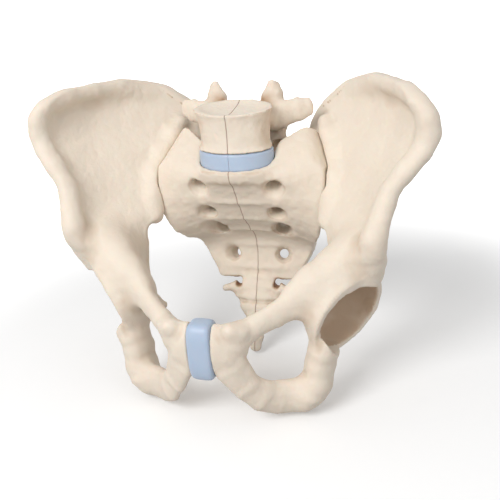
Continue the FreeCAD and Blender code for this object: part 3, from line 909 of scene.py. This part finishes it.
def noise(tree, place, per_100_mm, detail, roughness=0.5):
    """Noise with this many cells in 100 mm: its scale is in cells per metre, ten times as many."""
    return add_node(tree, "ShaderNodeTexNoise",
                    values={"Scale": per_100_mm * 10.0, "Detail": detail, "Roughness": roughness},
                    links={"Vector": place}).outputs["Fac"]


def ranged(tree, value, low, high, to_low=0.0, to_high=1.0):
    """The value carried evenly from one range to another, and held at its ends."""
    span = {"From Min": low, "From Max": high, "To Min": to_low, "To Max": to_high}
    return add_node(tree, "ShaderNodeMapRange", {"clamp": True}, span, {"Value": value}).outputs["Result"]


def mixed(tree, share, first, second):
    """A colour between two: the first is a hex colour or a socket, the second a hex colour."""
    values, links = {MIX_SECOND: linear(second)}, {MIX_SHARE: share}
    if isinstance(first, str):
        values[MIX_FIRST] = linear(first)
    else:
        links[MIX_FIRST] = first
    return add_node(tree, "ShaderNodeMix", {"data_type": "RGBA"}, values, links).outputs[MIXED]


def pitted(tree, height, strength, deep_mm):
    """Normals of a surface with bumps of this height."""
    return add_node(tree, "ShaderNodeBump", values={"Strength": strength, "Distance": deep_mm * MM},
                    links={"Height": height}).outputs["Normal"]


def surface(tree, shader):
    """Send a shader to the material's output."""
    add_node(tree, "ShaderNodeOutputMaterial", links={"Surface": shader})


# %% [markdown]
# The bones are cast in rigid ivory plastic with a matt skin. The mould is taken from real
# bone, so the surface is finely pitted. Hollows are painted tan and then brown as painted
# shade, and a thin reddish brown line of painted shade runs beside the parting line.

# %% Ivory bone plastic
# Painted shade beside the parting line: its full share near the median plane, none past the edge, in mm.
PARTING_CORE = 0.22
PARTING_EDGE = 0.5
PARTING_SHARE = 0.5


def bone_plastic():
    """Cast ivory plastic, cloudy in colour, with painted shade: browner by the hollow mark and beside the
    parting.
    """
    material, tree, place = new_material("ivory_bone_plastic")
    hollow = add_node(tree, "ShaderNodeAttribute", {"attribute_name": "hollow"}).outputs["Fac"]
    cloud = noise(tree, place, 2.8, 3.0, 0.6)
    colour = mixed(tree, cloud, "#E8DDCD", "#DECFBE")
    # Painted shade: the hollower the surface, the more its colour turns tan and then brown.
    colour = mixed(tree, ranged(tree, hollow, 0.12, 0.75), colour, "#B0906F")
    colour = mixed(tree, ranged(tree, hollow, 0.6, 1.0), colour, "#80563A")
    sideways = add_node(tree, "ShaderNodeSeparateXYZ", links={"Vector": place}).outputs["X"]
    aside = add_node(tree, "ShaderNodeMath", {"operation": "ABSOLUTE"}, links={0: sideways}).outputs[0]
    # Painted shade along the parting line: reddish brown within half a millimetre of the median plane.
    parting = ranged(tree, aside, PARTING_CORE * MM, PARTING_EDGE * MM, PARTING_SHARE, 0.0)
    colour = mixed(tree, parting, colour, "#8E4A38")
    bumps = pitted(tree, noise(tree, place, 42.0, 4.0, 0.62), 0.35, 0.8)
    looks = {"Roughness": 0.62, "IOR": 1.5, "Subsurface Weight": 0.12, "Subsurface Scale": 4 * MM}
    shader = add_node(tree, "ShaderNodeBsdfPrincipled", values=looks,
                      links={"Base Color": colour, "Normal": bumps})
    surface(tree, shader.outputs["BSDF"])
    return material


# %% [markdown]
# The discs are cast in a softer pale blue plastic in a smooth mould, with the pigment
# stirred in, so they have a satin skin, almost no pits and faint clouds of colour.

# %% Blue cartilage plastic
def cartilage_plastic():
    """Cast blue plastic with a satin skin."""
    material, tree, place = new_material("blue_cartilage_plastic")
    colour = mixed(tree, noise(tree, place, 4.5, 2.0), "#B7C6D8", "#A3B4CC")
    bumps = pitted(tree, noise(tree, place, 30.0, 3.0), 0.2, 0.5)
    looks = {"Roughness": 0.42, "IOR": 1.5, "Subsurface Weight": 0.1, "Subsurface Scale": 3 * MM}
    shader = add_node(tree, "ShaderNodeBsdfPrincipled", values=looks,
                      links={"Base Color": colour, "Normal": bumps})
    surface(tree, shader.outputs["BSDF"])
    return material


# %% [markdown]
# The magnets are pressed discs, plated with nickel in a barrel, which leaves a fine even
# grain in their shine. They keep their CAD shape, because a plain disc is what they are.

# %% Nickel of the magnets
def nickel_plate():
    """Plated nickel: full metal with a grain in its roughness."""
    material, tree, place = new_material("nickel_plated_magnet")
    rough = ranged(tree, noise(tree, place, 90.0, 2.0), 0.0, 1.0, 0.22, 0.38)
    looks = {"Base Color": linear("#C9C5BC"), "Metallic": 1.0}
    shader = add_node(tree, "ShaderNodeBsdfPrincipled", values=looks, links={"Roughness": rough})
    surface(tree, shader.outputs["BSDF"])
    return material


# %% Give each piece its material
bone_skin, blue_skin, magnet_skin = bone_plastic(), cartilage_plastic(), nickel_plate()
for name, piece in CAST.items():
    piece.data.materials.append(blue_skin if "disc" in name else bone_skin)
magnets = [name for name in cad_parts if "magnet" in name]
for name in magnets:
    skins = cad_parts[name].data.materials
    skins.clear()
    skins.append(magnet_skin)
print("cast pieces with a material:", len(CAST), "and magnets:", len(magnets))

# %% [markdown]
# The photograph is taken from the front, a little to the model's left and above it. The
# lens and place come from matching both halves of the model with its own mirror image:
# each left spot and its right twin are two views of one thing, which gives the depth.

# %% Camera
CAMERA_PLACE = (0.1639, -0.4451, 0.2828)
CAMERA_RIGHT = (0.9517, 0.2979, -0.0743)
CAMERA_DOWN = (0.0452, -0.3754, -0.9258)
LENS_FACTOR = 1.5
SENSOR = 36.0


def set_camera():
    """Columns of the camera's turn are its right, up and back directions."""
    right, down = unit(CAMERA_RIGHT), unit(CAMERA_DOWN)
    back = np.cross(right, -down)
    data = bpy.data.cameras.new("camera")
    data.sensor_width = SENSOR
    data.lens = SENSOR * LENS_FACTOR
    camera = bpy.data.objects.new("camera", data)
    bpy.context.collection.objects.link(camera)
    turn = np.eye(4)
    turn[:3] = np.column_stack([right, -down, back, CAMERA_PLACE])
    camera.matrix_world = mathutils.Matrix(turn.tolist())
    bpy.context.scene.camera = camera
    print("camera at", CAMERA_PLACE, "with a lens of", data.lens, "mm")


set_camera()

# %% [markdown]
# The photograph has a white ground with a soft shadow and no horizon. The table is a plain
# white sheet that fades into its own glow away from the model. The camera and mirror-like
# reflections see it white, and the light that falls on the model comes from a darker one,
# because a room's floor throws back less light than a page. The key lamp is broad and to
# the model's right, in front and above, and a faint one fills the other side.

# %% Table and light
TABLE_HALF = 6.0
GLOW_START = 0.2
GLOW_END = 0.55
LEAST_GLOW = 0.08
TABLE_HIDDEN, TABLE_SEEN = 0.5, 0.95
SKY_HIDDEN, SKY_SEEN = 0.56, 1.0


def seen_directly(tree, hidden, seen):
    """One value for the camera, reflections and glass, and another for light that falls on things."""
    path = add_node(tree, "ShaderNodeLightPath")
    total = path.outputs["Is Camera Ray"]
    for name in ("Is Glossy Ray", "Is Transmission Ray"):
        total = add_node(tree, "ShaderNodeMath", {"operation": "ADD", "use_clamp": True},
                         links={0: total, 1: path.outputs[name]}).outputs[0]
    return ranged(tree, total, 0.0, 1.0, hidden, seen)


def white_table():
    """A wide plain sheet that shows white to the camera but keeps the model's shadow."""
    material, tree, place = new_material("white_table")
    reach = add_node(tree, "ShaderNodeVectorMath", {"operation": "LENGTH"}, links={0: place})
    fade = add_node(tree, "ShaderNodeMapRange", {"interpolation_type": "SMOOTHSTEP"},
                    {"From Min": GLOW_START, "From Max": GLOW_END, "To Min": LEAST_GLOW, "To Max": 1.0},
                    {"Value": reach.outputs["Value"]}).outputs["Result"]
    shown = add_node(tree, "ShaderNodeMath", {"operation": "MULTIPLY"},
                     links={0: fade, 1: seen_directly(tree, 0.0, 1.0)}).outputs[0]
    matt = add_node(tree, "ShaderNodeBsdfDiffuse",
                    links={"Color": seen_directly(tree, TABLE_HIDDEN, TABLE_SEEN)}).outputs["BSDF"]
    glow = add_node(tree, "ShaderNodeEmission", links={"Strength": shown}).outputs["Emission"]
    both = add_node(tree, "ShaderNodeAddShader", links={0: matt, 1: glow})
    surface(tree, both.outputs["Shader"])
    mesh = bpy.data.meshes.new("table")
    corners = [(TABLE_HALF * across, TABLE_HALF * along, 0)
               for across, along in ((-1, -1), (1, -1), (1, 1), (-1, 1))]
    mesh.from_pydata(corners, [], [(0, 1, 2, 3)])
    table = bpy.data.objects.new("table", mesh)
    bpy.context.collection.objects.link(table)
    mesh.materials.append(material)


def soft_lamp(name, place, aim, width, watts):
    """A round area lamp at a place, turned to its aim."""
    data = bpy.data.lights.new(name, "AREA")
    data.shape = "DISK"
    data.size = width
    data.energy = watts
    lamp = bpy.data.objects.new(name, data)
    bpy.context.collection.objects.link(lamp)
    direction = mathutils.Vector(aim) - mathutils.Vector(place)
    lamp.matrix_world = (mathutils.Matrix.Translation(place)
                         @ direction.to_track_quat("-Z", "Y").to_matrix().to_4x4())
    print(name, "lamp:", watts, "W,", width, "m wide")


def bright_room():
    """A white surround: full white where it is seen, about half as bright as a light."""
    world = bpy.data.worlds.new("studio")
    world.use_nodes = True
    sky = world.node_tree.nodes["Background"]
    sky.inputs["Color"].default_value = (1, 1, 1, 1)
    world.node_tree.links.new(seen_directly(world.node_tree, SKY_HIDDEN, SKY_SEEN), sky.inputs["Strength"])
    bpy.context.scene.world = world


white_table()
soft_lamp("key", (-0.45, -1.35, 1.15), (0, 0, 0.08), 0.9, 19.5)
soft_lamp("fill", (1.2, -1.0, 0.9), (0, 0, 0.1), 1.6, 3)
bright_room()
bpy.context.scene.view_settings.view_transform = "Standard"
